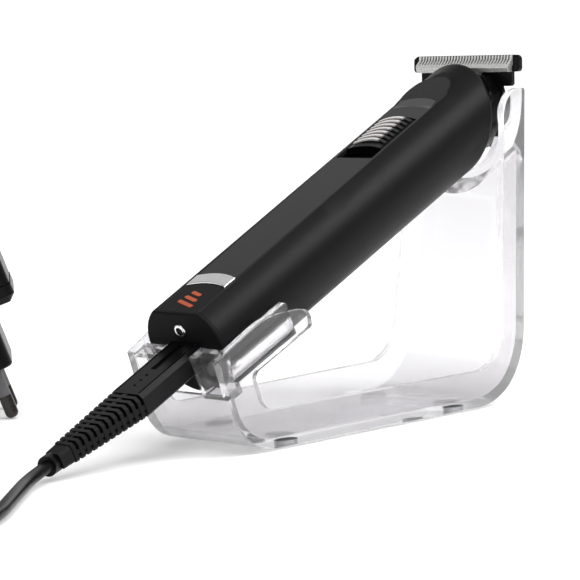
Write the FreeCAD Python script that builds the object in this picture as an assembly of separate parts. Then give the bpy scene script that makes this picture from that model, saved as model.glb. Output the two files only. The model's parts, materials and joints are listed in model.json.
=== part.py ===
import FreeCAD, Part
import math
import os

from FreeCAD import Placement, Rotation, Vector

# T-blade hair clipper resting in a clear desk stand, with its charging lead and adapter.
# Millimetres. +Z up, +X from the low bracket to the tall upright, origin on the table under the middle.
# The clipper frame has +X along the clipper's axis from its rear end, +Y across and +Z out of its flat top.

# Clipper body
TILT = 25.4
REAR_X, REAR_Z = -63.4, 28.1
REAR_RADIUS, RADIUS_GROWTH = 13.8, 0.0085
REAR_FLAT, FLAT_GROWTH = 11.0, 0.0146
STRIP_HALF, STRIP_GROWTH = 6.9, 0.0055
CREASE_AT, FRONT_SLOPE = 117.0, 0.125
SHELL_WALL = 1.8
SHELL_FRONT_X, SHELL_FRONT_Z, SHELL_FRONT_LEAN = 59.9, 101.0, 9.0
CAP_THICK = 1.5
STRIP_DEPTH = 1.2
BADGE_START, BADGE_END = 0.9, 13.6
BAND_START, BAND_END = 13.9, 18.7
INLAY_START, INLAY_END = 19.0, 132.5
LIGHT_START, LIGHT_END = 115.2, 119.6
RECESS_START, RECESS_END = 85.2, 108.6
ARCH = 1.6
SLIDER_START, SLIDER_END = 90.6, 108.0
SWITCH_TRAVEL = 4.0
RIB_COUNT, RIB_PITCH, RIB_START = 7, 2.2, 93.2
STEM_DROP = 5.9

# Charging plug and socket
PLUG_HALF, PLUG_TOP, PLUG_BOTTOM = 5.8, 2.0, -4.8
PLUG_REAR, PLUG_FRONT = -25.3, -0.3
NOSE_HALF, NOSE_TOP, NOSE_BOTTOM, NOSE_END = 5.0, 1.2, -4.0, 7.0
SOCKET_GAP = 0.25
CONTACT_Y, CONTACT_Z = 2.5, -1.4
RELIEF_END, SLEEVE_END = -50.5, -57.5
RELIEF_RIBS = 12
TAIL_RISE = 2.0

# Drive
MOTOR_START, MOTOR_END, MOTOR_RADIUS, MOTOR_FLAT = 79.0, 105.0, 8.2, 6.0
SHAFT_RADIUS = 1.0
THROW = 1.0
BLADE_STROKE = 1.0
PIN_RADIUS = 1.0
PIN_END = 137.6

# Blades, upright while the clipper is docked
CARRIER_BACK_X = 60.6
CUTTER_FACE_X = 63.05
FIXED_FACE_X, FIXED_THICK = 63.1, 1.5
TIP_Z = 104.2
TOOTH_PITCH, TOOTH_GAP, TOOTH_COUNT = 1.1, 0.56, 32
CUTTER_HALF = TOOTH_PITCH * TOOTH_COUNT / 2
FIXED_HALF, STEM_HALF, HEAD_RADIUS = 20.0, 17.1, 14.2
BAR_LOW_Z, STEM_LOW_Z, PLATE_LOW_Z = 99.2, 94.9, 76.5
SCREW_Y, SCREW_Z = 9.0, 88.5

# Stand
STAND_TOP = 94.3
LOW_CORNER_X, TALL_CORNER_X, TALL_LEAN = -59.4, 59.9, 0.10
LOW_LEAN = 0.37
RAIL_DEPTH, WEB, WALL = 10.6, 2.5, 2.5
LOW_ROUND, TALL_ROUND = 16.0, 24.0
WIDTH_MID, WIDTH_GROWTH = 19.85, 0.0416
TALL_HALF, TALL_DRAFT = 22.34, 0.0526
BLOCK_FRONT, BLOCK_BACK, BLOCK_TOP, BLOCK_LOW = -5.9, -0.9, 1.3, -10.2
SLOT_HALF = 6.0
BLOCK_WALL = 1.4
SADDLE_BORE, SADDLE_OUTER = 15.4, 19.9
CRADLE_END, CRADLE_LOW, CRADLE_GAP = 24.0, -8.6, 0.3
FOOT_RADIUS, FOOT_HEIGHT, FOOT_SINK = 4.0, 1.6, 1.0
FLOOR_LIFT = FOOT_HEIGHT - FOOT_SINK

# Lead: route of its centre line from the plug to the coil, and from the coil to the adapter
CORD_DIAMETER = 3.9
COIL_CENTRE = (-75.4, 120.7)
COIL_MID, COIL_ACROSS, COIL_LAYERS = 21.5, 2, 7

# Mains adapter, standing on its pin tips and leaning on the put-away turns of its cord
ADAPTER_TIP = (-43.5, 92.4)
ADAPTER_HEADING, ADAPTER_LEAN, ADAPTER_LIFT = 138.4, 20.0, 0.25
PIN_SPACING, MAINS_PIN_RADIUS, MAINS_PIN_LENGTH, MAINS_SLEEVE = 19.0, 2.0, 15.4, 8.4
HEAD_LENGTH, HEAD_HALF_THICK, HEAD_HALF_WIDE = 18.0, 6.0, 17.5
HOUSING_LENGTH, HOUSING_HALF_THICK, HOUSING_HALF_WIDE = 42.0, 14.4, 20.5
SEAM_AT = 5.0
GLAND_ALONG, GLAND_DROP, GLAND_LENGTH = 61.0, -4.0, 20.0

AXIS = Vector(math.cos(math.radians(TILT)), 0, math.sin(math.radians(TILT)))
UP = Vector(-math.sin(math.radians(TILT)), 0, math.cos(math.radians(TILT)))
CLIPPER = Placement(Vector(REAR_X, 0, REAR_Z), Rotation(Vector(0, 1, 0), -TILT))


def docked(shape):
    """A shape of the clipper frame, where it lies in the stand."""
    moved = shape.copy()
    moved.Placement = CLIPPER.multiply(moved.Placement)
    return moved


def on_clipper(s, m, y=0.0):
    """A point of the clipper frame in the stand's frame."""
    return Vector(REAR_X, 0, REAR_Z) + AXIS * s + UP * m + Vector(0, y, 0)


def box(x0, x1, y0, y1, z0, z1):
    return Part.makeBox(x1 - x0, y1 - y0, z1 - z0, Vector(x0, y0, z0))


def rod(radius, start, end):
    direction = end - start
    return Part.makeCylinder(radius, direction.Length, start, direction)


def body_radius(s):
    return REAR_RADIUS + RADIUS_GROWTH * s


def flat_height(s):
    return REAR_FLAT + FLAT_GROWTH * s


def strip_half(s):
    return STRIP_HALF + STRIP_GROWTH * s


def rounded_wire(corners):
    """A closed wire through (point, radius) corners, with an arc at each corner whose radius isn't zero."""
    count = len(corners)
    ends = []
    edges = []
    for i, (point, radius) in enumerate(corners):
        before = (corners[i - 1][0] - point).normalize()
        after = (corners[(i + 1) % count][0] - point).normalize()
        if radius == 0:
            ends.append((point, point))
            continue
        half = before.getAngle(after) / 2
        cut = radius / math.tan(half)
        middle = (before + after).normalize()
        centre = point + middle * (radius / math.sin(half))
        start = point + before * cut
        end = point + after * cut
        edges.append(Part.Arc(start, centre - middle * radius, end).toShape())
        ends.append((start, end))
    for i in range(count):
        start, end = ends[i][1], ends[(i + 1) % count][0]
        if (end - start).Length > 1e-6:
            edges.append(Part.LineSegment(start, end).toShape())
    return Part.Wire(Part.__sortEdges__(edges))


def prism(corners, direction):
    """A solid swept from a rounded outline along a vector."""
    return Part.Face(rounded_wire(corners)).extrude(direction)


def bowed_edge(a, b, bow):
    """An edge from a to b whose middle lies bow further forward, or a straight one."""
    if bow == 0:
        return Part.LineSegment(a, b).toShape()
    return Part.Arc(a, (a + b) / 2 + Vector(bow, 0, 0), b).toShape()


def arched_outline(s0, s1, half0, half1, z, arch0, arch1):
    """An outline in the clipper's top plane whose two end edges bow forwards."""
    edges = [
        bowed_edge(Vector(s0, -half0, z), Vector(s0, half0, z), arch0),
        Part.LineSegment(Vector(s0, half0, z), Vector(s1, half1, z)).toShape(),
        bowed_edge(Vector(s1, half1, z), Vector(s1, -half1, z), arch1),
        Part.LineSegment(Vector(s1, -half1, z), Vector(s0, -half0, z)).toShape(),
    ]
    return Part.Face(Part.Wire(edges))


def under_flat(lift, start=-5.0, end=170.0):
    """The half space under the clipper's flat top, raised by lift. The top slants upwards near the front."""
    crease = flat_height(CREASE_AT) + lift
    outline = [
        Vector(start, -40, -60),
        Vector(end, -40, -60),
        Vector(end, -40, crease + (end - CREASE_AT) * FRONT_SLOPE),
        Vector(CREASE_AT, -40, crease),
        Vector(start, -40, flat_height(start) + lift),
    ]
    return prism([(point, 0) for point in outline], Vector(0, 80, 0))


def strip_slab(face, top, depth):
    """A plate with the given outline between two heights below the sloping flat top."""
    block = face.extrude(Vector(0, 0, 40))
    return block.common(under_flat(top)).cut(under_flat(top - depth))


def body_cone(inset, start, end):
    return Part.makeCone(
        body_radius(start) - inset, body_radius(end) - inset, end - start, Vector(start, 0, 0), Vector(1, 0, 0)
    )


def beyond_front(gap=0.0):
    """Everything in front of the shell's slanting front edge, in the stand's frame."""
    block = box(gap, 200, -60, 60, -200, 200)
    block.rotate(Vector(0, 0, 0), Vector(0, 1, 0), SHELL_FRONT_LEAN)
    block.translate(Vector(SHELL_FRONT_X, 0, SHELL_FRONT_Z))
    return block


def undocked(shape):
    """A shape of the stand's frame, in the clipper frame."""
    moved = shape.copy()
    moved.Placement = CLIPPER.inverse().multiply(moved.Placement)
    return moved


# ---------------------------------------------------------------- clipper body


def body_shell():
    front = undocked(beyond_front())
    outer = body_cone(0, CAP_THICK + 0.05, 160).cut(front)
    rim = [e for e in outer.Edges if e.BoundBox.XMin > 100 and e.BoundBox.XLength > 4 and e.Length > 60]
    outer = outer.makeFillet(2.2, rim).common(under_flat(0))
    cavity = body_cone(SHELL_WALL, 0, 165).common(under_flat(-STRIP_DEPTH - 1.4))
    seats = [
        strip_slab(arched_outline(-1, RECESS_START - 0.3, STRIP_HALF, strip_half(85), 0, 0, 0), 1, STRIP_DEPTH + 1),
        strip_slab(inlay_outline(RECESS_START - 0.4, 0.06), 1, STRIP_DEPTH + 1),
    ]
    well = strip_slab(recess_outline(0.75), 1, 6)
    for tool in [cavity, well] + seats:
        outer = outer.cut(tool)
    return outer


def end_cap():
    disc = body_cone(0, 0, CAP_THICK).common(under_flat(0))
    rim = [e for e in disc.Edges if all(abs(v.Point.x) < 1e-6 for v in e.Vertexes)]
    disc = disc.makeFillet(0.6, rim)
    spigot = body_cone(SHELL_WALL + 0.05, CAP_THICK - 0.2, 6.0).common(under_flat(-STRIP_DEPTH - 1.5))
    hollow = body_cone(SHELL_WALL + 1.4, CAP_THICK, 6.5).common(under_flat(-STRIP_DEPTH - 3.2))
    mouth = box(-1, 8, -NOSE_HALF - 1.3, NOSE_HALF + 1.3, NOSE_BOTTOM - 1.3, NOSE_TOP + 1.3)
    lamp = rod(1.95, Vector(-1, 0, 5.7), Vector(8, 0, 5.7))
    strip_seat = strip_slab(arched_outline(BADGE_START - 0.1, 8, STRIP_HALF, STRIP_HALF, 0, 0, 0), 1, STRIP_DEPTH + 1)
    cap = disc.fuse(spigot.cut(hollow)).removeSplitter()
    for tool in (mouth, lamp, strip_seat):
        cap = cap.cut(tool)
    return cap


def recess_outline(margin):
    return arched_outline(
        RECESS_START - margin, RECESS_END + margin, strip_half(85) - 0.7 + margin, strip_half(108) - 0.7 + margin,
        0, 0, ARCH,
    )


def inlay_outline(start, grow=0.0):
    """The long top inlay: straight sides and a rounded front tip."""
    shoulder = INLAY_END - 11.0
    half0, half1 = strip_half(start) + grow, strip_half(shoulder) + grow
    tip = INLAY_END + grow
    side = Vector(shoulder + 7.6, 0.80 * half1, 0)
    arcs = [
        Part.Arc(Vector(shoulder, half1, 0), Vector(shoulder + 4.4, 0.96 * half1, 0), side),
        Part.Arc(side, Vector(tip, 0, 0), Vector(side.x, -side.y, 0)),
        Part.Arc(Vector(side.x, -side.y, 0), Vector(shoulder + 4.4, -0.96 * half1, 0), Vector(shoulder, -half1, 0)),
    ]
    lines = [
        Part.LineSegment(Vector(start, half0, 0), Vector(shoulder, half1, 0)),
        Part.LineSegment(Vector(shoulder, -half1, 0), Vector(start, -half0, 0)),
        Part.LineSegment(Vector(start, -half0, 0), Vector(start, half0, 0)),
    ]
    order = [lines[0]] + arcs + lines[1:]
    return Part.Face(Part.Wire([piece.toShape() for piece in order]))


def badge_plate():
    face = arched_outline(BADGE_START, BADGE_END, strip_half(1), strip_half(14), 0, 0, ARCH)
    return strip_slab(face, 0.0, STRIP_DEPTH - 0.05)


def badge_mark():
    """Three slanting rounded bars, a plain generic mark."""
    bars = []
    for i in range(3):
        centre = Vector(5.0 + 2.5 * i, 0, 0)
        along = Vector(0.35, 1, 0).normalize() * (3.6 - 0.7 * i)
        across = Vector(1, -0.35, 0).normalize() * 0.62
        corners = [centre + along + across, centre - along + across, centre - along - across, centre + along - across]
        bar = Part.Face(rounded_wire([(corner, 0.55) for corner in corners]))
        bars.append(strip_slab(bar, 0.12, 0.12))
    return Part.makeCompound(bars)


def chrome_band():
    face = arched_outline(BAND_START, BAND_END, strip_half(14), strip_half(19), 0, ARCH, ARCH)
    band = strip_slab(face, 0.35, STRIP_DEPTH + 0.3)
    rims = [e for e in band.Edges if e.BoundBox.ZMin > flat_height(10) + 0.25]
    return band.makeFillet(0.3, rims)


def top_inlay():
    rear = arched_outline(INLAY_START, 60, strip_half(19), strip_half(60), 0, ARCH, 0)
    plate = strip_slab(rear, 0.0, STRIP_DEPTH - 0.05).fuse(strip_slab(inlay_outline(59), 0.0, STRIP_DEPTH - 0.05))
    plate = plate.removeSplitter()
    plate = plate.cut(strip_slab(recess_outline(0), 1, 6))
    return plate.cut(strip_slab(light_outline(0.05), 1, 6))


def light_outline(grow):
    return arched_outline(
        LIGHT_START - grow, LIGHT_END + grow, strip_half(116) - 0.7 + grow, strip_half(119) - 0.9 + grow, 0, ARCH, ARCH
    )


def indicator_window():
    return strip_slab(light_outline(0), 0.0, STRIP_DEPTH - 0.1)


def switch_well():
    """The open-topped tray that the slider runs in."""
    tray = strip_slab(recess_outline(0.7), -STRIP_DEPTH - 0.02, 2.4)
    hollow = strip_slab(recess_outline(0), 0, 3.0)
    slot = box(94, 110, -1.6, 1.6, 0, 20)
    return tray.cut(hollow).cut(slot)


def switch_slider():
    """A low domed thumb slider with a stem through the tray's slot."""
    face = arched_outline(SLIDER_START, SLIDER_END, strip_half(90) - 1.0, strip_half(108) - 1.0, 0, ARCH, ARCH)
    base = strip_slab(face, 0.1, 2.6)
    dome_radius = 32.0
    dome = rod(dome_radius, Vector(80, 0, flat_height(98) + 0.35 - dome_radius),
               Vector(120, 0, flat_height(98) + 0.65 - dome_radius))
    base = base.common(dome)
    stem = box(101.2, 103.6, -1.1, 1.1, flat_height(100) - STEM_DROP, flat_height(100) - 2.4)
    return base.fuse(stem).removeSplitter()


def rib_outline(s):
    half = strip_half(s) - 1.5
    return arched_outline(s, s + 1.0, half, half, 0, ARCH, ARCH)


def switch_ribs():
    ribs = []
    for i in range(RIB_COUNT):
        s = RIB_START + RIB_PITCH * i
        rib = rib_outline(s).extrude(Vector(0, 0, 40))
        z = flat_height(98) + 0.35
        top = rod(32.0, Vector(80, 0, z + 0.45 - 32.0), Vector(120, 0, z + 0.75 - 32.0))
        low = rod(32.0, Vector(80, 0, z - 32.0), Vector(120, 0, z + 0.3 - 32.0))
        ribs.append(rib.common(top).cut(low))
    return Part.makeCompound(ribs)


def switch_contact():
    """The sliding contact carrier clipped to the slider's stem."""
    z = flat_height(100) - STEM_DROP
    block = box(100.4, 104.4, -2.4, 2.4, z - 0.3, z + 1.5)
    return block.cut(box(101.2, 103.6, -1.1, 1.1, z, z + 3))


def lamp_ring():
    ring = rod(1.9, Vector(-0.5, 0, 5.7), Vector(3.2, 0, 5.7))
    ring = ring.makeFillet(0.4, [e for e in ring.Edges if e.BoundBox.XMax < -0.4])
    return ring.cut(rod(1.15, Vector(-1, 0, 5.7), Vector(4, 0, 5.7)))


def lamp_lens():
    lens = rod(1.12, Vector(-0.25, 0, 5.7), Vector(5.2, 0, 5.7))
    return lens.makeFillet(0.5, [e for e in lens.Edges if e.BoundBox.XMax < -0.2])


# ---------------------------------------------------------------- inside the clipper


def socket():
    outer = box(0.05, 11.0, -NOSE_HALF - 1.25, NOSE_HALF + 1.25, NOSE_BOTTOM - 1.25, NOSE_TOP + 1.25)
    gap = SOCKET_GAP
    bore = box(-1, 7.6, -NOSE_HALF - gap, NOSE_HALF + gap, NOSE_BOTTOM - gap, NOSE_TOP + gap)
    body = outer.cut(bore)
    for side in (-1, 1):
        body = body.cut(rod(0.6, Vector(0, side * CONTACT_Y, CONTACT_Z), Vector(14, side * CONTACT_Y, CONTACT_Z)))
    return body


def socket_pins():
    return Part.makeCompound([
        rod(0.6, Vector(2.6, side * CONTACT_Y, CONTACT_Z), Vector(13.0, side * CONTACT_Y, CONTACT_Z))
        for side in (-1, 1)
    ])


def chassis():
    """A tray that lines the lower half of the shell, with a bulkhead behind the motor."""
    start, end = 14.0, 112.0
    lining = body_cone(SHELL_WALL + 0.15, start, end).cut(body_cone(SHELL_WALL + 1.15, start - 1, end + 1))
    tray = lining.common(box(0, 120, -30, 30, -30, -4.5))
    bulkhead = body_cone(SHELL_WALL + 1.0, 74.0, 75.6).common(box(0, 120, -30, 30, -30, 3.0))
    bulkhead = bulkhead.cut(rod(2.6, Vector(70, 0, 0), Vector(80, 0, 0)))
    return tray.fuse(bulkhead).removeSplitter()


def battery():
    cell = rod(7.1, Vector(20, 0, -3.4), Vector(69, 0, -3.4))
    cell = cell.makeFillet(0.6, cell.Edges)
    return cell.fuse(rod(2.6, Vector(68.8, 0, -3.4), Vector(70.2, 0, -3.4))).removeSplitter()


def circuit_board():
    return box(13.2, 74.0, -8.0, 8.0, 4.6, 5.8)


def board_components():
    blocks = [
        box(24, 30, -4, 2, 5.85, 7.4),
        box(34, 38, -6, -2, 5.85, 7.2),
        box(44, 52, 1, 6, 5.85, 7.6),
        box(60, 64, -3, 3, 5.85, 7.0),
    ]
    return Part.makeCompound(blocks)


def motor_can():
    can = rod(MOTOR_RADIUS, Vector(MOTOR_START, 0, 0), Vector(MOTOR_END, 0, 0))
    flats = box(MOTOR_START - 1, MOTOR_END + 1, -20, 20, -MOTOR_FLAT, MOTOR_FLAT)
    can = can.common(flats)
    inside = rod(MOTOR_RADIUS - 1.0, Vector(MOTOR_START - 1, 0, 0), Vector(MOTOR_END - 1.2, 0, 0))
    inside = inside.common(box(0, 200, -20, 20, -MOTOR_FLAT + 1.0, MOTOR_FLAT - 1.0))
    return can.cut(inside).cut(rod(SHAFT_RADIUS + 0.05, Vector(70, 0, 0), Vector(120, 0, 0)))


def motor_end_bell():
    plug = rod(MOTOR_RADIUS - 1.05, Vector(MOTOR_START - 1.2, 0, 0), Vector(MOTOR_START + 3.0, 0, 0))
    plug = plug.common(box(0, 200, -20, 20, -MOTOR_FLAT + 1.05, MOTOR_FLAT - 1.05))
    return plug.cut(rod(SHAFT_RADIUS + 0.05, Vector(70, 0, 0), Vector(120, 0, 0)))


def motor_shaft():
    return rod(SHAFT_RADIUS, Vector(77.0, 0, 0), Vector(118.0, 0, 0))


def rotor():
    core = rod(4.6, Vector(86, 0, 0), Vector(100, 0, 0))
    for i in range(3):
        turn = math.radians(120 * i)
        slot = box(85, 101, -0.6, 0.6, 2.8, 6)
        slot.rotate(Vector(0, 0, 0), Vector(1, 0, 0), math.degrees(turn))
        core = core.cut(slot)
    return core.cut(rod(SHAFT_RADIUS, Vector(80, 0, 0), Vector(110, 0, 0)))


def eccentric():
    hub = rod(4.0, Vector(112, 0, 0), Vector(119.5, 0, 0))
    pin = rod(PIN_RADIUS, Vector(119, 0, THROW), Vector(PIN_END, 0, THROW))
    tip = [e for e in pin.Edges if e.BoundBox.XMin > PIN_END - 0.1]
    pin = pin.makeFillet(0.4, tip)
    return hub.cut(rod(SHAFT_RADIUS, Vector(110, 0, 0), Vector(118, 0, 0))).fuse(pin).removeSplitter()


# ---------------------------------------------------------------- head and blades, built docked


def axis_height(x):
    """Height of the clipper's axis above the table at a place along the stand."""
    return REAR_Z + (x - REAR_X) * math.tan(math.radians(TILT))


def head_cylinder(radius):
    """A cylinder on the clipper's axis through the whole head, in the stand's frame."""
    return rod(radius, on_clipper(110, 0), on_clipper(170, 0))


def head_frame():
    """The black frame between the shell and the fixed blade, open at the top for the moving blade."""
    block = box(45, CUTTER_FACE_X, -20, 20, PLATE_LOW_Z, BAR_LOW_Z - 0.9).common(beyond_front(0.05))
    frame = block.common(head_cylinder(13.6))
    opening = box(40, 70, -8.2, 8.2, 80.5, 110)
    return frame.cut(opening)


def tooth_gaps(x0, x1, low, offset):
    """The slots between the teeth, as one compound to cut away."""
    gaps = []
    for i in range(-TOOTH_COUNT // 2 - 3, TOOTH_COUNT // 2 + 4):
        middle = TOOTH_PITCH * (i + offset)
        gaps.append(box(x0, x1, middle - TOOTH_GAP / 2, middle + TOOTH_GAP / 2, low, TIP_Z + 3))
    return gaps


def moving_blade():
    """The cutter: a bar with a bevelled back and a row of fine teeth."""
    face, root = CUTTER_FACE_X, 101.5
    outline = [
        (Vector(face, 0, BAR_LOW_Z), 0),
        (Vector(face, 0, TIP_Z), 0),
        (Vector(face - 0.35, 0, TIP_Z), 0),
        (Vector(face - 0.55, 0, TIP_Z - 1.3), 0.6),
        (Vector(face - 2.3, 0, root - 0.2), 0.6),
        (Vector(face - 2.7, 0, root - 1.0), 0.3),
        (Vector(face - 2.3, 0, BAR_LOW_Z), 0),
    ]
    bar = prism([(p + Vector(0, -CUTTER_HALF, 0), r) for p, r in outline], Vector(0, 2 * CUTTER_HALF, 0))
    for side in (-1, 1):
        scoop = rod(2.0, Vector(face - 5, side * (CUTTER_HALF + 1.6), root - 1.4),
                    Vector(face + 1, side * (CUTTER_HALF + 1.6), root - 1.4))
        bar = bar.cut(scoop)
    wanted = [g for g in tooth_gaps(face - 5, face + 1, root, 0) if abs(g.BoundBox.Center.y) < CUTTER_HALF - 0.5]
    return bar.cut(Part.makeCompound(wanted))


def fixed_blade():
    """The T-shaped comb blade: toothed bar, narrower stem and a round-ended plate screwed to the head."""
    x0, thick = FIXED_FACE_X, Vector(FIXED_THICK, 0, 0)
    bar = [
        (Vector(x0, -FIXED_HALF, TIP_Z + 0.1), 1.6), (Vector(x0, -FIXED_HALF, BAR_LOW_Z), 1.2),
        (Vector(x0, FIXED_HALF, BAR_LOW_Z), 1.2), (Vector(x0, FIXED_HALF, TIP_Z + 0.1), 1.6),
    ]
    stem = [
        (Vector(x0, -STEM_HALF, BAR_LOW_Z + 1), 0), (Vector(x0, -STEM_HALF, STEM_LOW_Z), 1.0),
        (Vector(x0, STEM_HALF, STEM_LOW_Z), 1.0), (Vector(x0, STEM_HALF, BAR_LOW_Z + 1), 0),
    ]
    plate = box(x0, x0 + FIXED_THICK, -20, 20, PLATE_LOW_Z, STEM_LOW_Z + 1).common(head_cylinder(HEAD_RADIUS))
    blade = prism(bar, thick).fuse([prism(stem, thick), plate]).removeSplitter()
    slots = [
        g for g in tooth_gaps(x0 - 1, x0 + 4, TIP_Z - 3.0, 0.5) if abs(g.BoundBox.Center.y) < FIXED_HALF - 2.2
    ]
    blade = blade.cut(Part.makeCompound(slots))
    bevel = box(-1, 6, -40, 40, 0, 8)
    bevel.rotate(Vector(0, 0, 0), Vector(0, 1, 0), -68)
    bevel.translate(Vector(x0 + 0.6, 0, TIP_Z + 0.2))
    blade = blade.cut(bevel)
    for side in (-1, 1):
        y = side * SCREW_Y
        blade = blade.cut(rod(1.2, Vector(x0 - 1, y, SCREW_Z), Vector(x0 + 4, y, SCREW_Z)))
    return blade


def blade_carrier():
    """The arm that takes the eccentric pin's swing to the moving blade, with an open slot for the pin."""
    plate = box(CARRIER_BACK_X, CUTTER_FACE_X - 0.35, -6.4, 6.4, 81.8, BAR_LOW_Z - 0.02)
    slot_half = PIN_RADIUS + THROW + BLADE_STROKE + 0.15
    slot = box(50, 70, -slot_half, slot_half, 70, axis_height(61.8) + 4.4)
    return plate.cut(slot)


def blade_spring():
    """A leaf that presses the carrier and its blade against the fixed blade."""
    x = CARRIER_BACK_X - 0.45
    leaf = box(x, x + 0.3, -8.6, 8.6, 93.6, 96.6)
    return leaf.cut(box(x - 1, x + 1, -2, 2, 94.6, 95.6))


def blade_screws():
    screws = []
    for side in (-1, 1):
        y = side * SCREW_Y
        face = FIXED_FACE_X + FIXED_THICK
        head = rod(2.1, Vector(face + 0.02, y, SCREW_Z), Vector(face + 1.1, y, SCREW_Z))
        head = head.makeFillet(0.4, [e for e in head.Edges if e.BoundBox.XMin > face + 1.0])
        head = head.cut(box(face + 0.6, face + 2, y - 0.3, y + 0.3, SCREW_Z - 1.5, SCREW_Z + 1.5))
        head = head.cut(box(face + 0.6, face + 2, y - 1.5, y + 1.5, SCREW_Z - 0.3, SCREW_Z + 0.3))
        shank = rod(1.1, Vector(SHELL_FRONT_X + 0.8, y, SCREW_Z), Vector(face + 0.1, y, SCREW_Z))
        screws.append(head.fuse(shank).removeSplitter())
    return Part.makeCompound(screws)


# ---------------------------------------------------------------- charging plug


def plug_section(s, scale_y, scale_z, rise):
    """The plug's section: a block with bevelled top shoulders, shrunk about its centre."""
    middle = (PLUG_TOP + PLUG_BOTTOM) / 2
    corners = [
        (-PLUG_HALF + 1.0, PLUG_TOP), (-PLUG_HALF, PLUG_TOP - 1.2), (-PLUG_HALF, PLUG_BOTTOM + 0.8),
        (-PLUG_HALF + 0.8, PLUG_BOTTOM), (PLUG_HALF - 0.8, PLUG_BOTTOM), (PLUG_HALF, PLUG_BOTTOM + 0.8),
        (PLUG_HALF, PLUG_TOP - 1.2), (PLUG_HALF - 1.0, PLUG_TOP),
    ]
    points = [Vector(s, y * scale_y, middle + rise + (z - middle) * scale_z) for y, z in corners]
    return Part.makePolygon(points + points[:1])


def plug_body():
    block = Part.Face(plug_section(PLUG_REAR, 1, 1, 0)).extrude(Vector(PLUG_FRONT - PLUG_REAR, 0, 0))
    nose = box(PLUG_FRONT - 1, NOSE_END, -NOSE_HALF, NOSE_HALF, NOSE_BOTTOM, NOSE_TOP)
    nose = nose.makeFillet(0.5, [e for e in nose.Edges if e.BoundBox.XLength > 4])
    body = block.fuse(nose).removeSplitter()
    body = body.cut(box(-13.5, -1.2, -0.9, 1.1, PLUG_TOP - 0.7, PLUG_TOP + 1))
    for side in (-1, 1):
        ys = sorted((side * 4.0, side * 4.5))
        body = body.cut(box(PLUG_REAR + 0.8, -1.2, ys[0], ys[1], PLUG_TOP - 0.5, PLUG_TOP + 1))
    for i in range(3):
        s = -16.4 - 2.5 * i
        body = body.cut(rod(0.45, Vector(s, 0, PLUG_TOP - 0.6), Vector(s, 0, PLUG_TOP + 1)))
    for side in (-1, 1):
        y = side * CONTACT_Y
        body = body.cut(rod(1.0, Vector(0.8, y, CONTACT_Z), Vector(NOSE_END + 1, y, CONTACT_Z)))
    return body


def plug_contacts():
    sleeves = []
    for side in (-1, 1):
        y = side * CONTACT_Y
        outer = rod(1.0, Vector(0.8, y, CONTACT_Z), Vector(NOSE_END - 0.1, y, CONTACT_Z))
        sleeves.append(outer.cut(rod(0.67, Vector(1.6, y, CONTACT_Z), Vector(NOSE_END + 1, y, CONTACT_Z))))
    return Part.makeCompound(sleeves)


def relief_scale(s):
    """How much the strain relief has shrunk, and risen, at a place behind the plug."""
    share = (PLUG_REAR - s) / (PLUG_REAR - RELIEF_END)
    return 1 - 0.46 * share, 1 - 0.22 * share, TAIL_RISE * share * RELIEF_SHARE


RELIEF_SHARE = (PLUG_REAR - RELIEF_END) / (PLUG_REAR - SLEEVE_END)


def strain_relief():
    """A tapered core with cross ribs, each rib a short block of the full section."""
    def ring(s0, s1, shrink):
        sections = []
        for s in (s0, s1):
            wide, tall, rise = relief_scale(s)
            sections.append(plug_section(s, wide * shrink, tall * shrink, rise))
        return Part.makeLoft(sections, True)

    core = ring(PLUG_REAR - 0.02, RELIEF_END, 0.76)
    pitch = (PLUG_REAR - RELIEF_END) / RELIEF_RIBS
    ribs = [ring(PLUG_REAR - 0.02 - pitch * (i + 0.45), PLUG_REAR - pitch * (i + 1), 1.0) for i in range(RELIEF_RIBS)]
    return core.fuse(ribs + relief_spines()).removeSplitter()


def relief_spines():
    """The bars that join the ribs: one along the top and one along each side."""
    middle = (PLUG_TOP + PLUG_BOTTOM) / 2
    half_tall = (PLUG_TOP - PLUG_BOTTOM) / 2
    top = []
    side = []
    for s in (PLUG_REAR - 0.02, RELIEF_END):
        wide, tall, rise = relief_scale(s)
        roof, centre = middle + rise + half_tall * tall * 0.97, middle + rise
        flank = PLUG_HALF * wide * 0.97
        top.append(rectangle(s, 0.8 * wide, centre, roof))
        side.append(rectangle(s, flank, centre - 1.0 * tall, centre + 0.5 * tall))
    return [Part.makeLoft(top, True), Part.makeLoft(side, True)]


def rectangle(s, half, low, high):
    points = [Vector(s, -half, low), Vector(s, half, low), Vector(s, half, high), Vector(s, -half, high)]
    return Part.makePolygon(points + points[:1])


def end_sleeve():
    """The smooth collar and the small step that the cord leaves straight on."""
    wide, tall, rise = relief_scale(RELIEF_END)
    tail = tail_centre()
    start = plug_section(RELIEF_END - 0.02, wide * 0.92, tall * 0.92, rise)
    middle = plug_section(-54.6, wide * 0.84, tall * 0.84, TAIL_RISE * 0.90)
    collar = Part.makeLoft([start, middle], True)
    out = (CLIPPER.inverse().multVec(Vector(*ROUTE[0])) - tail).normalize()
    step = rod(2.75, tail - out * 4.6, tail)
    return collar.fuse(step).removeSplitter()


def tail_centre():
    """The middle of the sleeve's end, where the cord comes out, in the clipper frame."""
    return Vector(SLEEVE_END, 0, (PLUG_TOP + PLUG_BOTTOM) / 2 + TAIL_RISE)


# ---------------------------------------------------------------- cord

FLOOR = CORD_DIAMETER / 2
COIL_OUTER = COIL_MID + CORD_DIAMETER * (COIL_ACROSS - 1) / 2
COIL_TOP = FLOOR + CORD_DIAMETER * (COIL_LAYERS - 1)

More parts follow.
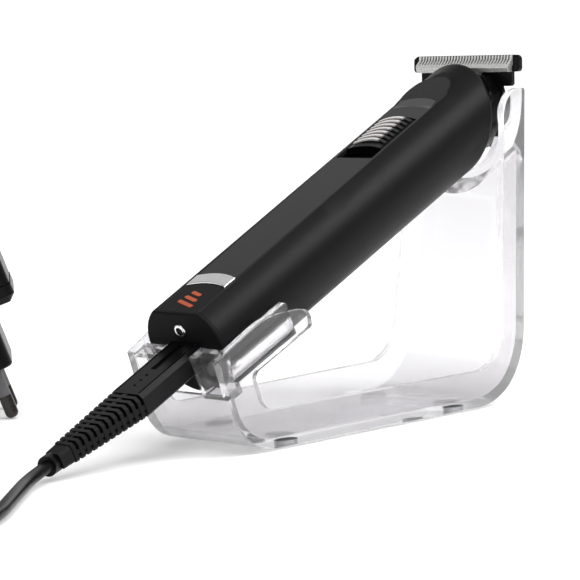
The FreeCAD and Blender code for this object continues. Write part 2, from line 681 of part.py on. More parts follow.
ROUTE = [
    (-123.8, -2.3, 2.25),
    (-134.5, -10.2, 1.95),
    (-146.0, -19.3, 1.95),
    (-158.5, -29.0, 1.95),
    (-177.0, -36.5, 1.95),
    (-196.0, -29.0, 1.95),
    (-203.0, -9.0, 1.95),
    (-194.0, 12.5, 1.95),
    (-178.5, 34.0, 1.95),
    (-161.5, 55.0, 1.95),
    (-143.5, 75.5, 1.95),
    (-126.0, 96.0, 1.95),
    (-109.5, 117.0, 1.95),
    (-92.9, 136.3, 1.95),
]
TAIL_ROUTE = [
    (-92.9, 136.3, 25.35),
    (-80.0, 150.3, 25.5),
    (-66.1, 164.2, 26.0),
    (-50.2, 177.8, 27.0),
    (-32.9, 180.9, 35.5),
    (-21.4, 170.7, 47.5),
    (-22.4, 153.1, 56.0),
]


def rounded_path(points):
    """Straight runs joined by tangent arcs, each as large as its two runs allow. Returns the wire and the radii."""
    corners = [Vector(*p) for p in points]
    edges = []
    radii = []
    start = corners[0]
    for i in range(1, len(corners) - 1):
        before = corners[i - 1] - corners[i]
        after = corners[i + 1] - corners[i]
        turn = math.pi - before.getAngle(after)
        cut = 0.45 * min(before.Length, after.Length)
        radius = cut / math.tan(turn / 2)
        before.normalize()
        after.normalize()
        first = corners[i] + before * cut
        last = corners[i] + after * cut
        middle = (before + after).normalize()
        centre = corners[i] + middle * (radius / math.cos(turn / 2))
        edges.append(Part.LineSegment(start, first).toShape())
        edges.append(Part.Arc(first, centre - middle * radius, last).toShape())
        radii.append(round(radius, 1))
        start = last
    edges.append(Part.LineSegment(start, corners[-1]).toShape())
    return Part.Wire(edges), radii


def cord_tube(points, name):
    wire, radii = rounded_path(points)
    start = Vector(*points[0])
    direction = Vector(*points[1]) - start
    ring = Part.Wire(Part.makeCircle(CORD_DIAMETER / 2, start, direction))
    tube = wire.makePipeShell([ring], True, True)
    section = math.pi * CORD_DIAMETER ** 2 / 4
    print(name, "radii", radii, "length", round(wire.Length, 1), "volume ratio", round(tube.Volume / section / wire.Length, 4))
    return tube


def cord_coil():
    """The outer shape of the put-away turns: a flat ring."""
    half = CORD_DIAMETER / 2
    inner = COIL_MID - CORD_DIAMETER * (COIL_ACROSS - 1) / 2 - half
    centre = Vector(COIL_CENTRE[0], COIL_CENTRE[1], 0)
    ring = Part.makeCylinder(COIL_OUTER + half, COIL_TOP + half, centre)
    ring = ring.cut(Part.makeCylinder(inner, COIL_TOP + half, centre))
    return ring.makeFillet(1.4, [e for e in ring.Edges if isinstance(e.Curve, Part.Circle) and e.isClosed()])


# ---------------------------------------------------------------- mains adapter


def adapter_placement():
    """Puts the adapter frame on the table: +X from the pin tips to the far end, +Y across the pins."""
    turn = Rotation(Vector(0, 0, 1), ADAPTER_HEADING)
    tilt = Rotation(Vector(0, 1, 0), ADAPTER_LEAN - 90)
    return Placement(Vector(ADAPTER_TIP[0], ADAPTER_TIP[1], ADAPTER_LIFT), turn.multiply(tilt))


def on_table(shape):
    moved = shape.copy()
    moved.Placement = adapter_placement().multiply(moved.Placement)
    return moved


def adapter_block(x0, x1, half_y, half_z, corner):
    block = box(x0, x1, -half_y, half_y, -half_z, half_z)
    return block.makeFillet(corner, [e for e in block.Edges if e.BoundBox.XLength > 1])


HEAD_START = MAINS_PIN_LENGTH
HOUSING_START = HEAD_START + HEAD_LENGTH
HOUSING_END = HOUSING_START + HOUSING_LENGTH


def adapter_housing():
    """The lower part, with the chamfered shoulder round the plug head."""
    low = adapter_block(HOUSING_START, HOUSING_START + SEAM_AT, HOUSING_HALF_WIDE, HOUSING_HALF_THICK, 3.0)
    rim = [e for e in low.Edges if e.BoundBox.XMax < HOUSING_START + 0.01]
    return low.makeChamfer(2.0, rim)


def adapter_cover():
    cover = adapter_block(HOUSING_START + SEAM_AT + 0.4, HOUSING_END, HOUSING_HALF_WIDE - 0.2,
                          HOUSING_HALF_THICK - 0.2, 3.0)
    cover = cover.makeFillet(1.6, [e for e in cover.Edges if e.BoundBox.XMin > HOUSING_END - 0.01])
    tongue = box(HOUSING_START + SEAM_AT + 0.02, HOUSING_START + SEAM_AT + 1.0, -HOUSING_HALF_WIDE + 1.6,
                 HOUSING_HALF_WIDE - 1.6, -HOUSING_HALF_THICK + 1.6, HOUSING_HALF_THICK - 1.6)
    return cover.fuse(tongue).removeSplitter()


def adapter_head():
    head = adapter_block(HEAD_START, HOUSING_START - 0.02, HEAD_HALF_WIDE, HEAD_HALF_THICK, 4.0)
    head = head.makeFillet(1.0, [e for e in head.Edges if e.BoundBox.XMax < HEAD_START + 0.01])
    for side in (-1, 1):
        y = side * PIN_SPACING / 2
        head = head.cut(rod(1.5, Vector(HEAD_START - 1, y, 0), Vector(HEAD_START + 8, y, 0)))
    return head


def mains_pins():
    pins = []
    for side in (-1, 1):
        y = side * PIN_SPACING / 2
        bare = MAINS_PIN_LENGTH - MAINS_SLEEVE
        tip = rod(MAINS_PIN_RADIUS, Vector(0, y, 0), Vector(bare, y, 0))
        tip = tip.makeFillet(1.6, [e for e in tip.Edges if e.BoundBox.XMax < 0.01])
        core = rod(1.5, Vector(bare - 0.5, y, 0), Vector(HEAD_START + 8, y, 0))
        pins.append(tip.fuse(core).removeSplitter())
    return Part.makeCompound(pins)


def pin_sleeves():
    sleeves = []
    for side in (-1, 1):
        y = side * PIN_SPACING / 2
        start = Vector(MAINS_PIN_LENGTH - MAINS_SLEEVE, y, 0)
        end = Vector(HEAD_START, y, 0)
        sleeves.append(rod(1.95, start, end).cut(rod(1.5, start, end)))
    return Part.makeCompound(sleeves)


GLAND_AT = Vector(GLAND_ALONG, -HOUSING_HALF_WIDE + 0.2, GLAND_DROP)


def adapter_relief():
    """The tapered strain relief on the adapter's side."""
    out = Vector(0, -1, 0)
    cone = Part.makeCone(4.2, 2.5, GLAND_LENGTH, GLAND_AT, out)
    grooves = []
    for i in range(5):
        along = 4.0 + 3.0 * i
        start = GLAND_AT + out * along
        radius = 4.2 - 1.7 * along / GLAND_LENGTH
        cutter = Part.makeCylinder(6, 1.2, start, out)
        grooves.append(cutter.cut(Part.makeCylinder(radius - 0.6, 1.2, start, out)))
    return cone.cut(Part.makeCompound(grooves))


# ---------------------------------------------------------------- stand


def wedge(inset):
    """The space between the stand's two side planes: it widens along the floor and narrows up the tall end."""
    def trapezium(points):
        return Part.Face(Part.makePolygon(points + points[:1]))

    x0, x1 = -90.0, 90.0
    near, far = (WIDTH_MID + WIDTH_GROWTH * x - inset for x in (x0, x1))
    plan = trapezium([Vector(x0, -near, -5), Vector(x1, -far, -5), Vector(x1, far, -5), Vector(x0, near, -5)])
    low, high = TALL_HALF - inset + 5 * TALL_DRAFT, TALL_HALF - inset - 110 * TALL_DRAFT
    end = trapezium([Vector(x0, -low, -5), Vector(x0, low, -5), Vector(x0, high, 110), Vector(x0, -high, 110)])
    return plan.extrude(Vector(0, 0, 115)).common(end.extrude(Vector(x1 - x0, 0, 0)))


def rail_points(depth):
    """The corners of the stand's side view, moved inwards by depth from its outer line."""
    floor = depth + FLOOR_LIFT
    tall_x = TALL_CORNER_X - depth * math.sqrt(1 + TALL_LEAN ** 2)
    low = low_point(depth, floor)
    tall = Vector(tall_x + TALL_LEAN * floor, 0, floor)
    top = Vector(tall_x + TALL_LEAN * STAND_TOP, 0, STAND_TOP)
    return low, tall, top


def low_point(depth, z):
    """A point on the low upright's line, depth inside its outer line, at height z."""
    return Vector(LOW_CORNER_X + depth * math.sqrt(1 + LOW_LEAN ** 2) - LOW_LEAN * z, 0, z)


def side_walls():
    """Both side walls: low upright, cheek beside the body, floor rail and tall upright in one outline."""
    low, tall, top = rail_points(0)
    inner_low, inner_tall, inner_top = rail_points(RAIL_DEPTH)
    outline = [
        (on_clipper(BLOCK_FRONT, BLOCK_TOP), 0.4),
        (low, LOW_ROUND),
        (tall, TALL_ROUND),
        (top, 0.8),
        (inner_top, 9.6),
        (inner_tall, TALL_ROUND - RAIL_DEPTH),
        (inner_low, LOW_ROUND - RAIL_DEPTH),
        (low_point(RAIL_DEPTH, 21.6), 2.5),
        (on_clipper(29.0, -9.2), 1.0),
        (on_clipper(30.6, -4.4), 3.6),
        (on_clipper(15.5, 2.3), 28.0),
    ]
    moved = [(p + Vector(0, -30, 0), r) for p, r in outline]
    return prism(moved, Vector(0, 60, 0)).common(wedge(0)).cut(wedge(WALL))


def web():
    """The outer wall that joins the two sides, from the low bracket round under the floor to the top."""
    low, tall, top = rail_points(0)
    inner_low, inner_tall, inner_top = rail_points(WEB)
    start = on_clipper(BLOCK_FRONT, BLOCK_LOW)
    outline = [
        (low_point(0, start.z), 0),
        (low, LOW_ROUND),
        (tall, TALL_ROUND),
        (top, 0.8),
        (inner_top, 0),
        (inner_tall, TALL_ROUND - WEB),
        (inner_low, LOW_ROUND - WEB),
        (low_point(WEB, start.z), 0),
    ]
    moved = [(p + Vector(0, -30, 0), r) for p, r in outline]
    return prism(moved, Vector(0, 60, 0)).common(wedge(0))


def bracket_blocks():
    """Two open-fronted blocks either side of the plug, which stop the clipper's rear end."""
    blocks = []
    for side in (-1, 1):
        inner, outer = SLOT_HALF, 16.0
        ys = sorted((side * inner, side * outer))
        block = box(BLOCK_FRONT, BLOCK_BACK, ys[0], ys[1], BLOCK_LOW - 1.5, BLOCK_TOP)
        ys = sorted((side * (inner + BLOCK_WALL), side * (outer - 1.6)))
        pocket = box(BLOCK_FRONT - 1, BLOCK_BACK - BLOCK_WALL, ys[0], ys[1], BLOCK_LOW, BLOCK_TOP - BLOCK_WALL)
        pocket = pocket.makeFillet(0.8, [e for e in pocket.Edges if e.BoundBox.XLength > 3])
        blocks.append(docked(block.cut(pocket)))
    return blocks


def cradle():
    """The thickened inner sides of the two cheeks, hollowed to the body's curve."""
    band = docked(box(BLOCK_BACK - 0.5, CRADLE_END, -20, 20, CRADLE_LOW, 1.0)).common(wedge(WALL / 2))
    clearance = Part.makeCone(body_radius(-5) + CRADLE_GAP, body_radius(60) + CRADLE_GAP, 65, Vector(-5, 0, 0),
                              Vector(1, 0, 0))
    return band.cut(docked(clearance))


def saddle():
    """The trough between the two horns that the head lies in."""
    low, tall, top = rail_points(0)
    inner_low, inner_tall, inner_top = rail_points(RAIL_DEPTH)
    outline = [(tall, 0), (top, 0), (inner_top, 0), (inner_tall, 0)]
    slab = prism([(p + Vector(0, -30, 0), r) for p, r in outline], Vector(0, 60, 0))
    trough = slab.common(head_cylinder(SADDLE_OUTER)).common(wedge(0.5))
    return trough.cut(box(-100, 200, -60, 60, axis_height(64), 200))


def head_passage():
    """The space kept clear for the head: a bore on the clipper's axis, open to the top."""
    bore = head_cylinder(SADDLE_BORE)
    slot = box(40, 90, -14.7, 14.7, axis_height(64), 120)
    lead_in = Part.makeCone(SADDLE_BORE + 1.4, SADDLE_BORE, 3.2, on_clipper(131.2, 0), AXIS)
    return [bore, slot, lead_in]


def feet_places():
    return [(x, side * y) for x, y in ((-40.0, 10.5), (31.0, 14.0)) for side in (-1, 1)]


def stand():
    floor = web()
    for x, y in feet_places():
        floor = floor.cut(Part.makeCylinder(FOOT_RADIUS, FOOT_HEIGHT, Vector(x, y, 0)))
    body = side_walls().fuse([floor, saddle()] + cradle().Solids + bracket_blocks())
    for tool in head_passage():
        body = body.cut(tool)
    return body.removeSplitter()


def feet():
    pads = []
    for x, y in feet_places():
        pad = Part.makeCylinder(FOOT_RADIUS, FOOT_HEIGHT, Vector(x, y, 0))
        pads.append(pad.makeFillet(0.4, [e for e in pad.Edges if e.BoundBox.ZMax < 0.01]))
    return Part.makeCompound(pads)


# ---------------------------------------------------------------- all the parts


def clipper_frame_parts():
    return {
        "body_shell": body_shell(),
        "end_cap": end_cap(),
        "badge_plate": badge_plate(),
        "badge_mark": badge_mark(),
        "chrome_band": chrome_band(),
        "top_inlay": top_inlay(),
        "indicator_window": indicator_window(),
        "switch_well": switch_well(),
        "switch_slider": switch_slider(),
        "switch_ribs": switch_ribs(),
        "switch_contact": switch_contact(),
        "lamp_ring": lamp_ring(),
        "lamp_lens": lamp_lens(),
        "socket": socket(),
        "socket_pins": socket_pins(),
        "chassis": chassis(),
        "battery": battery(),
        "circuit_board": circuit_board(),
        "board_components": board_components(),
        "motor_can": motor_can(),
        "motor_end_bell": motor_end_bell(),
        "motor_shaft": motor_shaft(),
        "rotor": rotor(),
        "eccentric": eccentric(),
        "plug_body": plug_body(),
        "plug_contacts": plug_contacts(),
        "strain_relief": strain_relief(),
        "end_sleeve": end_sleeve(),
    }


def stand_frame_parts():
    return {
        "head_frame": head_frame(),
        "moving_blade": moving_blade(),
        "fixed_blade": fixed_blade(),
        "blade_carrier": blade_carrier(),
        "blade_spring": blade_spring(),
        "blade_screws": blade_screws(),
        "stand": stand(),
        "feet": feet(),
    }


def lead_parts():
    exit_point = CLIPPER.multVec(tail_centre())
    gland = adapter_placement().multVec(GLAND_AT + Vector(0, -GLAND_LENGTH, 0))
    print("cord leaves the plug at", [round(v, 2) for v in exit_point])
    print("cord meets the adapter at", [round(v, 2) for v in gland])
    return {
        "cord_tube": cord_tube([tuple(exit_point)] + ROUTE, "cord_tube"),
        "cord_tail": cord_tube(TAIL_ROUTE + [tuple(gland)], "cord_tail"),
        "cord_coil": cord_coil(),
        "adapter_housing": on_table(adapter_housing()),
        "adapter_cover": on_table(adapter_cover()),
        "adapter_head": on_table(adapter_head()),
        "mains_pins": on_table(mains_pins()),
        "pin_sleeves": on_table(pin_sleeves()),
        "adapter_relief": on_table(adapter_relief()),
    }


def main():
    os.makedirs("parts", exist_ok=True)
    parts = {name: docked(shape) for name, shape in clipper_frame_parts().items()}
    parts.update(stand_frame_parts())
    parts.update(lead_parts())
    for name, shape in parts.items():
        if not shape.isValid():
            print("not valid:", name)
        print(f"{name:18s} solids {len(shape.Solids)} volume {shape.Volume:10.1f}")
        shape.exportStep(f"parts/{name}.step")


main()
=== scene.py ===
import math

import bmesh
import bpy
from mathutils import Matrix, Vector
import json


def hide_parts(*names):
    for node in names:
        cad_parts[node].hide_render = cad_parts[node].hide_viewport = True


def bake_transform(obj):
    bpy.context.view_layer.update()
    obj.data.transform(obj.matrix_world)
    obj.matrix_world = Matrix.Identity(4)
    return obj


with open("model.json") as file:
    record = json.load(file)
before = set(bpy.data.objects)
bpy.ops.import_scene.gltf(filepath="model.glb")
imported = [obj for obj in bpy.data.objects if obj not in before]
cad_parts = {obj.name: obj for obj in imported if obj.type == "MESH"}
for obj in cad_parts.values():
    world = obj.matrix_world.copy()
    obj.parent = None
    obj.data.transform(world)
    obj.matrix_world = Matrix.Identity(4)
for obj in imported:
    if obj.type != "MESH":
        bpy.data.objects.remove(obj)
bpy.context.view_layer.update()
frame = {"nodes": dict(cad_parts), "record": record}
NODES = frame["nodes"]

MM = 0.001

# The clipper's own frame, in metres: +X along its axis from the rear end, +Y across and +Z out of
# its flat top.
TILT = math.radians(25.4)
REAR = Vector((-0.0634, 0.0, 0.0281))
AXIS = Vector((math.cos(TILT), 0.0, math.sin(TILT)))
UP = Vector((-math.sin(TILT), 0.0, math.cos(TILT)))
CLIPPER = Matrix((
    (AXIS.x, 0.0, UP.x, REAR.x),
    (0.0, 1.0, 0.0, REAR.y),
    (AXIS.z, 0.0, UP.z, REAR.z),
    (0.0, 0.0, 0.0, 1.0),
))


# ---------------------------------------------------------------- camera

CAMERA_AT = Vector((-0.5047, -0.4230, 0.1064))
YAW, PITCH, ROLL = math.radians(41.17), math.radians(-5.9), math.radians(-1.3)
LENS, SENSOR = 142.5, 36.0
CLIP_NEAR, CLIP_FAR = 0.01, 20.0


def add_camera():
    forward = Vector((
        math.cos(PITCH) * math.cos(YAW),
        math.cos(PITCH) * math.sin(YAW),
        math.sin(PITCH),
    ))
    level = Vector((math.sin(YAW), -math.cos(YAW), 0.0))
    above = level.cross(forward)
    right = level * math.cos(ROLL) + above * math.sin(ROLL)
    up = above * math.cos(ROLL) - level * math.sin(ROLL)
    data = bpy.data.cameras.new("camera")
    data.sensor_width = SENSOR
    data.lens = LENS
    data.clip_start, data.clip_end = CLIP_NEAR, CLIP_FAR
    camera = bpy.data.objects.new("camera", data)
    bpy.context.scene.collection.objects.link(camera)
    turn = Matrix((right, up, -forward)).transposed().to_4x4()
    camera.matrix_world = Matrix.Translation(CAMERA_AT) @ turn
    bpy.context.scene.camera = camera


# ---------------------------------------------------------------- materials

# Sockets of a Mix node that mixes colours.
MIX_A, MIX_B, MIX_RESULT = 6, 7, 2

# Slot: name, colour, roughness range, grain per metre, relief, specular level.
PLASTICS = {
    "shell_black": ("satin shell", (0.0042, 0.0042, 0.0045), (0.36, 0.44), 5200.0, 0.2, 0.09),
    "cap_black": ("flat cap", (0.004, 0.004, 0.0043), (0.46, 0.56), 4200.0, 0.12, 0.08),
    "badge_gloss": ("badge gloss", (0.004, 0.0036, 0.0036), (0.10, 0.16), 600.0, 0.02, 0.06),
    "mark_orange": ("mark orange", (0.40, 0.065, 0.018), (0.28, 0.36), 900.0, 0.03, 0.2),
    "inlay_gloss": ("inlay gloss", (0.012, 0.012, 0.0125), (0.20, 0.30), 700.0, 0.02, 0.16),
    "window_grey": ("window grey", (0.05, 0.05, 0.052), (0.14, 0.2), 700.0, 0.02, 0.25),
    "gloss_black": ("gloss black", (0.003, 0.003, 0.0033), (0.10, 0.16), 700.0, 0.02, 0.1),
    "inner_grey": ("inner grey", (0.26, 0.26, 0.27), (0.4, 0.5), 2500.0, 0.05, 0.5),
    "cell_wrap": ("cell wrap", (0.05, 0.14, 0.34), (0.25, 0.34), 2500.0, 0.05, 0.5),
    "board_green": ("board green", (0.015, 0.12, 0.05), (0.3, 0.4), 2500.0, 0.05, 0.5),
    "plug_rubber": ("plug rubber", (0.004, 0.004, 0.0043), (0.26, 0.36), 3600.0, 0.14, 0.12),
    "blade_black": ("blade black", (0.003, 0.003, 0.0033), (0.2, 0.3), 1500.0, 0.05, 0.1),
    "blade_screw_black": ("screw black", (0.004, 0.004, 0.0043), (0.26, 0.34), 2500.0, 0.05, 0.1),
    "foot_clear": ("foot clear", (0.62, 0.64, 0.65), (0.3, 0.4), 2500.0, 0.05, 0.5),
    "cord_black": ("cord black", (0.004, 0.004, 0.0043), (0.26, 0.36), 2600.0, 0.1, 0.12),
    "adapter_black": ("adapter black", (0.004, 0.004, 0.0043), (0.28, 0.36), 2600.0, 0.1, 0.1),
    "sleeve_grey": ("sleeve grey", (0.12, 0.12, 0.125), (0.38, 0.46), 2500.0, 0.05, 0.2),
}

# Slot: name, colour, roughness range.
METALS = {
    "bright_trim": ("bright trim", (0.86, 0.86, 0.87), (0.05, 0.12)),
    "contact_brass": ("contact brass", (0.80, 0.60, 0.28), (0.18, 0.3)),
    "motor_steel": ("motor steel", (0.56, 0.56, 0.57), (0.25, 0.38)),
    "pin_nickel": ("pin nickel", (0.045, 0.042, 0.04), (0.2, 0.3)),
}
METAL_ROUGH_SCALE, METAL_GRAIN, METAL_RELIEF, METAL_SPREAD = 1200.0, 1800.0, 0.03, 0.06

# Ground steel: marks drawn out across the blade, and part diffuse, as a satin ground face is.
GRINDING = (1.0, 0.15, 4.0)
GROUND_METALLIC = 0.82

# The part of the clear plastic that doesn't bend light keeps its thick edges from going black.
CLEAR_COLOUR, CLEAR_IOR, CLEAR_ALPHA = (0.80, 0.788, 0.806, 1.0), 1.45, 0.9

# The ribs are gloss black. The pale colour is a painted highlight on their far side, and the fade range
# is where it gives way to the black.
RIB_DARK, RIB_PAINTED_HIGHLIGHT = (0.006, 0.006, 0.0065, 1.0), (0.56, 0.54, 0.53, 1.0)
RIB_HIGHLIGHT_FADE = (-0.0032, -0.0020)


def set_range(ramp, from_range, to_range):
    ends = ("From Min", "From Max", "To Min", "To Max")
    for end, value in zip(ends, (*from_range, *to_range)):
        ramp.inputs[end].default_value = value


class Shader:
    """A small helper for one node material."""

    def __init__(self, name):
        self.material = bpy.data.materials.new(name)
        self.material.use_nodes = True
        self.tree = self.material.node_tree
        self.bsdf = self.tree.nodes["Principled BSDF"]
        self.coords = self.tree.nodes.new("ShaderNodeTexCoord").outputs["Object"]

    def set(self, socket, value):
        self.bsdf.inputs[socket].default_value = value

    def node(self, kind, **inputs):
        made = self.tree.nodes.new(kind)
        for name, value in inputs.items():
            made.inputs[name].default_value = value
        return made

    def link(self, source, target):
        self.tree.links.new(source, target)

    def noise(self, scale, detail=2.0, stretch=None):
        texture = self.node("ShaderNodeTexNoise", Scale=scale, Detail=detail)
        source = self.coords
        if stretch:
            mapping = self.node("ShaderNodeMapping", Scale=stretch)
            self.link(self.coords, mapping.inputs["Vector"])
            source = mapping.outputs["Vector"]
        self.link(source, texture.inputs["Vector"])
        return texture.outputs["Fac"]

    def rough(self, low, high, scale=900.0, stretch=None):
        ramp = self.node("ShaderNodeMapRange")
        set_range(ramp, (0.0, 1.0), (low, high))
        self.link(self.noise(scale, 3.0, stretch), ramp.inputs["Value"])
        self.link(ramp.outputs["Result"], self.bsdf.inputs["Roughness"])

    def bump(self, scale, strength, distance=0.00005, stretch=None):
        bump = self.node("ShaderNodeBump", Strength=strength, Distance=distance)
        self.link(self.noise(scale, 3.0, stretch), bump.inputs["Height"])
        self.link(bump.outputs["Normal"], self.bsdf.inputs["Normal"])

    def blend_colours(self, factor, first, second):
        mix = self.node("ShaderNodeMix")
        mix.data_type = "RGBA"
        mix.inputs[MIX_A].default_value = first
        mix.inputs[MIX_B].default_value = second
        self.link(factor, mix.inputs["Factor"])
        self.link(mix.outputs[MIX_RESULT], self.bsdf.inputs["Base Color"])

    def tint(self, colour, scale=300.0, spread=0.12):
        dark = [channel * (1 - spread) for channel in colour]
        light = [min(1.0, channel * (1 + spread)) for channel in colour]
        self.blend_colours(self.noise(scale), (*dark, 1.0), (*light, 1.0))


def plastic(name, colour, roughness, grain, relief, specular):
    shader = Shader(name)
    shader.tint(colour)
    shader.rough(*roughness)
    shader.bump(grain, relief)
    shader.set("Specular IOR Level", specular)
    return shader.material


def metal(name, colour, roughness, stretch=None, metallic=1.0):
    shader = Shader(name)
    shader.tint(colour, spread=METAL_SPREAD)
    shader.set("Metallic", metallic)
    shader.rough(*roughness, METAL_ROUGH_SCALE, stretch)
    shader.bump(METAL_GRAIN, METAL_RELIEF, stretch=stretch)
    return shader.material


def clear_plastic():
    shader = Shader("clear acrylic")
    shader.set("Base Color", CLEAR_COLOUR)
    shader.set("Transmission Weight", 1.0)
    shader.set("Alpha", CLEAR_ALPHA)
    shader.set("IOR", CLEAR_IOR)
    shader.rough(0.01, 0.045, 120.0)
    shader.bump(60.0, 0.03, 0.0004)
    return shader.material


def rib_painted_highlight():
    """Gloss black ribs with a painted highlight: pale on the far side of the slider, fading to gloss
    black towards its near side.
    """
    shader = Shader("rib painted highlight")
    place = shader.node("ShaderNodeSeparateXYZ")
    shader.link(shader.coords, place.inputs[0])
    highlight_fade = shader.node("ShaderNodeMapRange")
    set_range(highlight_fade, RIB_HIGHLIGHT_FADE, (0.0, 1.0))
    shader.link(place.outputs["Y"], highlight_fade.inputs["Value"])
    shader.blend_colours(highlight_fade.outputs["Result"], RIB_DARK, RIB_PAINTED_HIGHLIGHT)
    shader.rough(0.16, 0.26)
    shader.bump(900.0, 0.03)
    return shader.material


def make_looks():
    """The material of every slot in the record."""
    looks = {slot: plastic(*row) for slot, row in PLASTICS.items()}
    looks.update({slot: metal(*row) for slot, row in METALS.items()})
    looks["blade_steel"] = metal(
        "blade steel", (0.95, 0.945, 0.93), (0.22, 0.34), GRINDING, GROUND_METALLIC
    )
    # The rib slot gets gloss black ribs with a painted highlight, not a grey plastic.
    looks["rib_grey"] = rib_painted_highlight()
    looks["clear_acrylic"] = clear_plastic()
    return looks


def dress_nodes(looks):
    """Gives every CAD node the material of its slot."""
    for part in frame["record"]["subparts"]:
        node = NODES[part["node"]]
        node.data.materials.clear()
        node.data.materials.append(looks[part["material_slot"]])


# ---------------------------------------------------------------- cord

# The lead is a flat twin: CORD_DIAMETER is its width, the other sizes are shares of it.
CORD_DIAMETER = 0.0039
SECTION_POINTS = 20
FLATNESS, GROOVE_DEPTH, GROOVE_WIDTH = 0.80, 0.20, 0.28

EXIT = CLIPPER @ (Vector((-57.5, 0.0, 0.6)) * MM)
ADAPTER_HEADING, ADAPTER_LEAN = math.radians(138.4), math.radians(20.0)
ADAPTER = (
    Matrix.Translation(Vector((-0.0435, 0.0924, 0.00025)))
    @ Matrix.Rotation(ADAPTER_HEADING, 4, "Z")
    @ Matrix.Rotation(ADAPTER_LEAN - math.pi / 2, 4, "Y")
)
GLAND_END = ADAPTER @ Vector((0.061, -0.0403, -0.004))

# Millimetres: along the table from the plug to the coil, then from the coil up to the adapter.
ROUTE = [
    (-123.8, -2.3, 2.25), (-134.5, -10.2, 1.95), (-146.0, -19.3, 1.95), (-158.5, -29.0, 1.95),
    (-177.0, -36.5, 1.95), (-196.0, -29.0, 1.95), (-203.0, -9.0, 1.95), (-194.0, 12.5, 1.95),
    (-178.5, 34.0, 1.95), (-161.5, 55.0, 1.95), (-143.5, 75.5, 1.95), (-126.0, 96.0, 1.95),
    (-109.5, 117.0, 1.95), (-92.9, 136.3, 1.95),
]
TAIL_ROUTE = [
    (-80.0, 150.3, 25.5), (-66.1, 164.2, 26.0), (-50.2, 177.8, 27.0),
    (-32.9, 180.9, 35.5), (-21.4, 170.7, 47.5), (-22.4, 153.1, 56.0),
]

# Millimetres. A turn keeps its ring for the first CHANGE_START of its way round, and then moves
# over to the next ring within CHANGE_SPAN.
COIL_CENTRE = (-75.4, 120.7)
COIL_MID, COIL_LAYERS = 21.5, 7
COIL_PITCH = CORD_DIAMETER / MM
COIL_TURNS = COIL_LAYERS * 2
TURN_STEPS = 24
CHANGE_START, CHANGE_SPAN = 0.70, 0.28


def ring_place(index):
    """Radius and height of one turn. Rings alternate outer, inner, inner, outer and so on upwards."""
    layer = index // 2
    outer = (index % 2 == 0) == (layer % 2 == 0)
    radius = COIL_MID + (COIL_PITCH / 2 if outer else -COIL_PITCH / 2)
    return radius, COIL_PITCH * (layer + 0.5)


def coil_points():
    """The put-away turns, two beside each other in each layer, from the table up."""
    points = []
    last = ROUTE[-1]
    start = math.atan2(last[1] - COIL_CENTRE[1], last[0] - COIL_CENTRE[0])
    for i in range(1, COIL_TURNS * TURN_STEPS):
        turn = i / TURN_STEPS
        index = int(turn)
        change = max(0.0, min(1.0, (turn - index - CHANGE_START) / CHANGE_SPAN))
        change = change * change * (3 - 2 * change)
        here = ring_place(index)
        after = ring_place(min(index + 1, COIL_TURNS - 1))
        radius = here[0] + (after[0] - here[0]) * change
        height = here[1] + (after[1] - here[1]) * change
        angle = start - 2 * math.pi * turn
        x = COIL_CENTRE[0] + radius * math.cos(angle)
        y = COIL_CENTRE[1] + radius * math.sin(angle)
        points.append((x, y, height))
    return points


def nurbs_route(points, name):
    """An open NURBS spline through control points in millimetres, the cord's centre line."""
    curve = bpy.data.curves.new(name, "CURVE")
    curve.dimensions = "3D"
    spline = curve.splines.new("NURBS")
    spline.points.add(len(points) - 1)
    for place, point in zip(spline.points, points):
        place.co = (point[0] * MM, point[1] * MM, point[2] * MM, 1.0)
    spline.order_u = 3
    spline.use_endpoint_u = True
    spline.resolution_u = 6
    curve.resolution_u = 6
    piece = bpy.data.objects.new(name, curve)
    bpy.context.scene.collection.objects.link(piece)
    return piece


def sampled(piece):
    """Points along a curve, in order, without its bevel."""
    bpy.context.view_layer.update()
    mesh = bpy.data.meshes.new_from_object(piece)
    places = [vertex.co.copy() for vertex in mesh.vertices]
    bpy.data.meshes.remove(mesh)
    kept = [places[0]]
    for place in places[1:]:
        if (place - kept[-1]).length > 1e-6:
            kept.append(place)
    return kept


def cord_section():
    """The flat twin section with a groove between its cores, as (across, up) in radii."""
    ring = []
    for i in range(SECTION_POINTS):
        angle = 2 * math.pi * i / SECTION_POINTS
        across = math.cos(angle)
        waist = 1.0 - GROOVE_DEPTH * math.exp(-(across / GROOVE_WIDTH) ** 2)
        ring.append((across, math.sin(angle) * FLATNESS * waist))
    return ring


def cord_mesh(path, name):
    """A flat twin cord swept along a path, flat side up."""
    mesh = bmesh.new()
    radius = CORD_DIAMETER / 2
    section = cord_section()
    rings = []
    final = len(path) - 1
    for i, place in enumerate(path):
        ahead = path[min(i + 1, final)] - path[max(i - 1, 0)]
        ahead.normalize()
        side = ahead.cross(Vector((0, 0, 1)))
        side.normalize()
        up = side.cross(ahead)
        ring = [mesh.verts.new(place + side * (a * radius) + up * (b * radius)) for a, b in section]
        rings.append(ring)
    for ring, after in zip(rings, rings[1:]):
        for k in range(SECTION_POINTS):
            beside = (k + 1) % SECTION_POINTS
            mesh.faces.new((ring[k], ring[beside], after[beside], after[k]))
    mesh.faces.new(list(reversed(rings[0])))
    mesh.faces.new(rings[-1])
    bmesh.ops.recalc_face_normals(mesh, faces=mesh.faces)
    return finish_mesh(mesh, name, 60)


def finish_mesh(mesh, name, smooth_angle=30):
    data = bpy.data.meshes.new(name)
    mesh.to_mesh(data)
    mesh.free()
    data.polygons.foreach_set("use_smooth", [True] * len(data.polygons))
    data.set_sharp_from_angle(angle=math.radians(smooth_angle))
    piece = bpy.data.objects.new(name, data)
    bpy.context.scene.collection.objects.link(piece)
    return piece


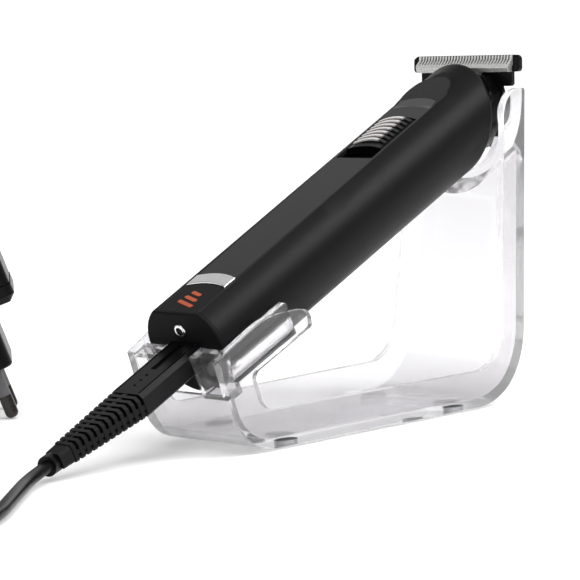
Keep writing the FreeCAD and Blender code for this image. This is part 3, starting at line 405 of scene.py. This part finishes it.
def add_cord(material):
    points = [tuple(EXIT / MM)] + ROUTE + coil_points() + TAIL_ROUTE + [tuple(GLAND_END / MM)]
    line = nurbs_route(points, "cord_line")
    path = sampled(line)
    bpy.data.objects.remove(line)
    cord = cord_mesh(path, "lead_cord")
    cord.data.materials.append(material)
    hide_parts("cord_tube", "cord_coil", "cord_tail")
    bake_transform(cord)


# ---------------------------------------------------------------- stage and light

# The floor lies just under the feet, so that no two faces share a plane.
FLOOR_HALF, FLOOR_HEIGHT, FLOOR_GLOW = 12.0, -0.0002, 0.22
FLOOR_COLOUR = (0.90, 0.90, 0.90)

SUN_FROM, SUN_STRENGTH, SUN_SPREAD = (-0.25, -0.35, 1.0), 1.9, 45.0
BOX_AT, BOX_TARGET, BOX_SIZE, BOX_POWER = (0.42, -0.70, 0.80), (0.0, 0.0, 0.06), 0.42, 7.0

BRIGHT_SIDE = (0.75, 0.65, -0.10)
BRIGHT, DIM = 1.1, 0.38
BRIGHT_TURN = (0.5, 0.97)
HORIZON_BAND = (0.12, 0.26)


def add_soft_box():
    """A soft light from the right that draws the sheen along the clipper's side."""
    data = bpy.data.lights.new("right", "AREA")
    data.shape = "RECTANGLE"
    data.size = BOX_SIZE
    data.size_y = BOX_SIZE
    data.energy = BOX_POWER
    light = bpy.data.objects.new("right", data)
    bpy.context.scene.collection.objects.link(light)
    light.location = BOX_AT
    aim = Vector(BOX_TARGET) - Vector(BOX_AT)
    light.rotation_euler = aim.to_track_quat("-Z", "Y").to_euler()


def add_soft_sun():
    data = bpy.data.lights.new("sun", "SUN")
    data.energy = SUN_STRENGTH
    data.angle = math.radians(SUN_SPREAD)
    light = bpy.data.objects.new("sun", data)
    bpy.context.scene.collection.objects.link(light)
    light.rotation_euler = Vector(SUN_FROM).to_track_quat("Z", "Y").to_euler()


def studio_world():
    """A soft white studio: bright on one side and all round the horizon, dimmer elsewhere."""
    world = bpy.data.worlds.new("studio")
    world.use_nodes = True
    tree = world.node_tree
    direction = tree.nodes.new("ShaderNodeTexCoord").outputs["Generated"]
    background = tree.nodes["Background"]
    background.inputs["Color"].default_value = (1.0, 1.0, 1.0, 1.0)

    dot = tree.nodes.new("ShaderNodeVectorMath")
    dot.operation = "DOT_PRODUCT"
    dot.inputs[1].default_value = BRIGHT_SIDE
    tree.links.new(direction, dot.inputs[0])
    side = smooth_ramp(tree, dot.outputs["Value"], BRIGHT_TURN, (DIM, BRIGHT))

    place = tree.nodes.new("ShaderNodeSeparateXYZ")
    tree.links.new(direction, place.inputs[0])
    horizon = smooth_ramp(tree, place.outputs["Z"], HORIZON_BAND, (BRIGHT, 0.0))

    brighter = tree.nodes.new("ShaderNodeMath")
    brighter.operation = "MAXIMUM"
    tree.links.new(side, brighter.inputs[0])
    tree.links.new(horizon, brighter.inputs[1])
    tree.links.new(brighter.outputs["Value"], background.inputs["Strength"])
    return world


def smooth_ramp(tree, value, from_range, to_range):
    ramp = tree.nodes.new("ShaderNodeMapRange")
    ramp.interpolation_type = "SMOOTHSTEP"
    set_range(ramp, from_range, to_range)
    tree.links.new(value, ramp.inputs["Value"])
    return ramp.outputs["Result"]


def add_floor():
    mesh = bmesh.new()
    corners = ((-1, -1), (1, -1), (1, 1), (-1, 1))
    mesh.faces.new([mesh.verts.new((x * FLOOR_HALF, y * FLOOR_HALF, FLOOR_HEIGHT)) for x, y in corners])
    floor = finish_mesh(mesh, "floor")
    shader = Shader("floor")
    shader.tint(FLOOR_COLOUR, 20.0, 0.01)
    shader.rough(0.6, 0.7, 40.0)
    shader.set("Emission Color", (1.0, 1.0, 1.0, 1.0))
    shader.set("Emission Strength", FLOOR_GLOW)
    floor.data.materials.append(shader.material)


def main():
    add_camera()
    looks = make_looks()
    dress_nodes(looks)
    add_cord(looks["cord_black"])
    add_floor()
    bpy.context.scene.world = studio_world()
    add_soft_sun()
    add_soft_box()
    bpy.context.scene.view_settings.view_transform = "Standard"


main()
